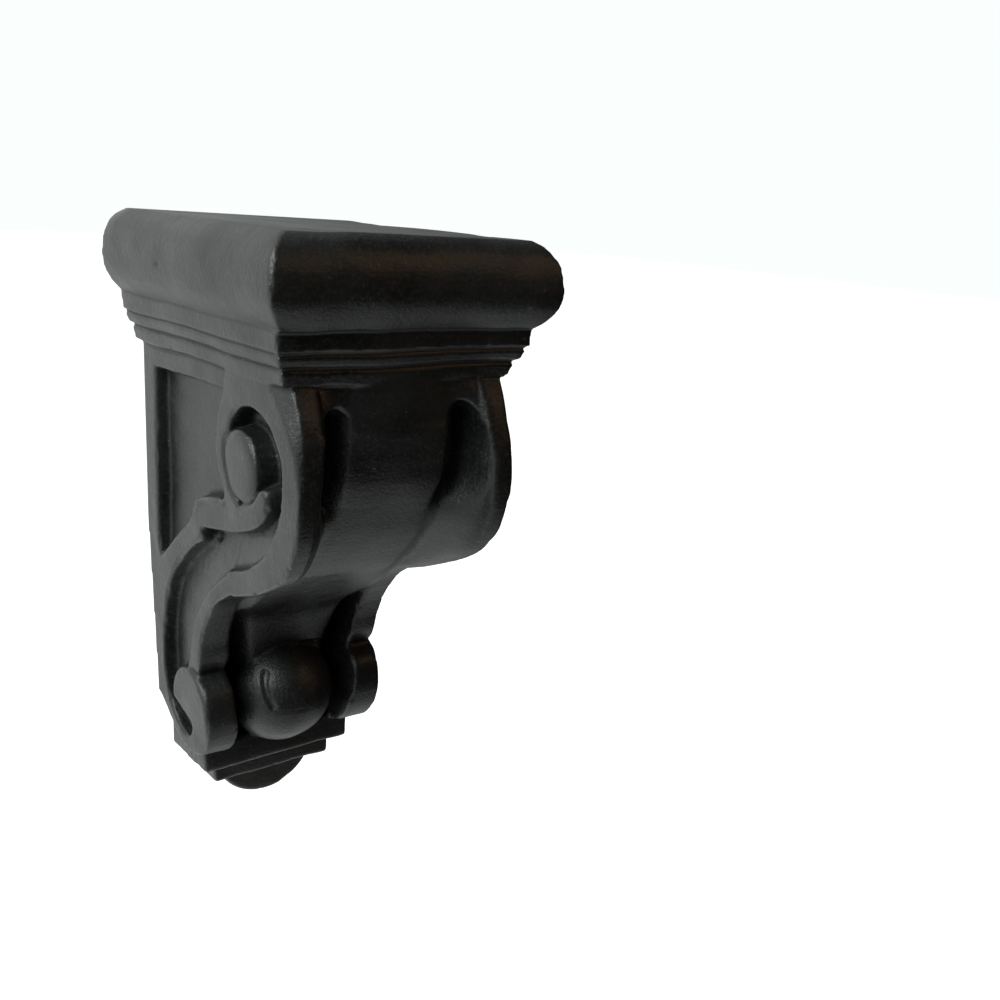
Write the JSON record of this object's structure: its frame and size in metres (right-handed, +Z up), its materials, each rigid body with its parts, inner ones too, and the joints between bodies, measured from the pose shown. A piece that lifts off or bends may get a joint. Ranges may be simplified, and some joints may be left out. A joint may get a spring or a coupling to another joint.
{
  "type": "corbel",
  "caption": "Carved scroll corbel with a moulded cap, scrolled side faces, a crowned tongue ending in a ball, and a stepped foot; flat back for a wall.",
  "frame": {"origin": "on the flat back face, on the centreline, at half of the overall height", "axes": "+Y out of the back face into the wall, +Z up to the bearing face on top, +X to the right seen from the front"},
  "size_m": [0.118, 0.135, 0.254],
  "materials": {
    "black_stained_wood": "satin"
  },
  "bodies": {
    "root": {"corbel": "black_stained_wood"}
  },
  "joints": []
}
